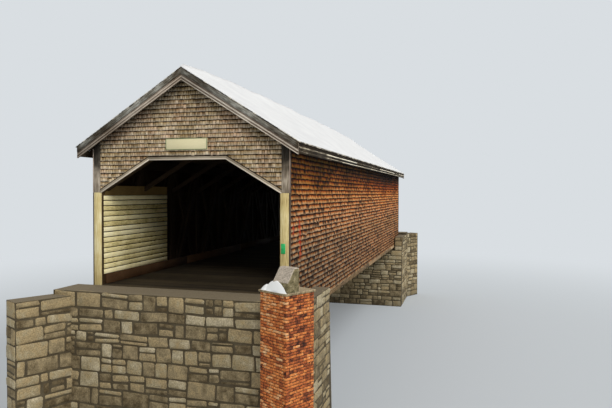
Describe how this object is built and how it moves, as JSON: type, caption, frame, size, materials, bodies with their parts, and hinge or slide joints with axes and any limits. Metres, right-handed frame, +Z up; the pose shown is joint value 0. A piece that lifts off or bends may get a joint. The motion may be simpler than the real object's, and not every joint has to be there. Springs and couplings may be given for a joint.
{
  "type": "covered timber bridge",
  "caption": "Single-span covered timber road bridge with shingled walls, snowy gable roof, portals, timber trusses, plank deck and stone abutments.",
  "frame": {"origin": "middle of the bridge in plan, at the foot of the abutments", "axes": "+Y along the road from the near portal to the far one, +X to the right of the near portal, +Z up"},
  "size_m": [8.2178, 28.9778, 10.5482],
  "materials": {
    "rubble_stone": "rough stone, laid in mortar",
    "brick": "rough fired brick",
    "concrete": "cast, weathered",
    "dark_timber": "sawn, aged dark",
    "deck_plank": "worn planks",
    "whitewashed_board": "old cream whitewash",
    "brown_board": "planed, dull",
    "roof_shingle": "split shingles, weathered",
    "wall_shingle": "sawn shingles, weathered",
    "weathered_board": "silvered board",
    "cream_board": "painted board",
    "snow": "soft snow",
    "green_plate": "satin paint"
  },
  "bodies": {
    "root": {"bed_timbers": "dark_timber", "bottom_chords": "dark_timber", "brick_pier": "brick", "curb_timbers": "dark_timber", "deck": "deck_plank", "eave_boards": "weathered_board", "far_abutment": "rubble_stone", "far_corner_boards": "weathered_board", "far_gable_wall": "wall_shingle", "far_lining": "whitewashed_board", "far_portal_trim": "weathered_board", "far_rake_boards": "weathered_board", "far_rake_fascias": "weathered_board", "far_wing_walls": "rubble_stone", "floor_beams": "dark_timber", "floor_stringers": "dark_timber", "knee_braces": "dark_timber", "lateral_bracing": "dark_timber", "left_counterbraces": "dark_timber", "left_roof_slope": "roof_shingle", "left_side_wall": "wall_shingle", "left_truss_braces": "dark_timber", "left_truss_posts": "dark_timber", "lining_bands": "brown_board", "near_abutment": "rubble_stone", "near_corner_boards": "weathered_board", "near_gable_wall": "wall_shingle", "near_lining": "whitewashed_board", "near_portal_trim": "weathered_board", "near_rake_boards": "weathered_board", "near_rake_fascias": "weathered_board", "near_wing_walls": "rubble_stone", "notice_board": "cream_board", "pier_block": "concrete", "pier_cap": "concrete", "rafters": "dark_timber", "ridge_board": "dark_timber", "ridge_cap": "weathered_board", "right_counterbraces": "dark_timber", "right_roof_slope": "roof_shingle", "right_side_wall": "wall_shingle", "right_truss_braces": "dark_timber", "right_truss_posts": "dark_timber", "side_skirt_boards": "weathered_board", "tie_beams": "dark_timber", "top_chords": "dark_timber", "wall_plates": "dark_timber"}
  },
  "joints": []
}
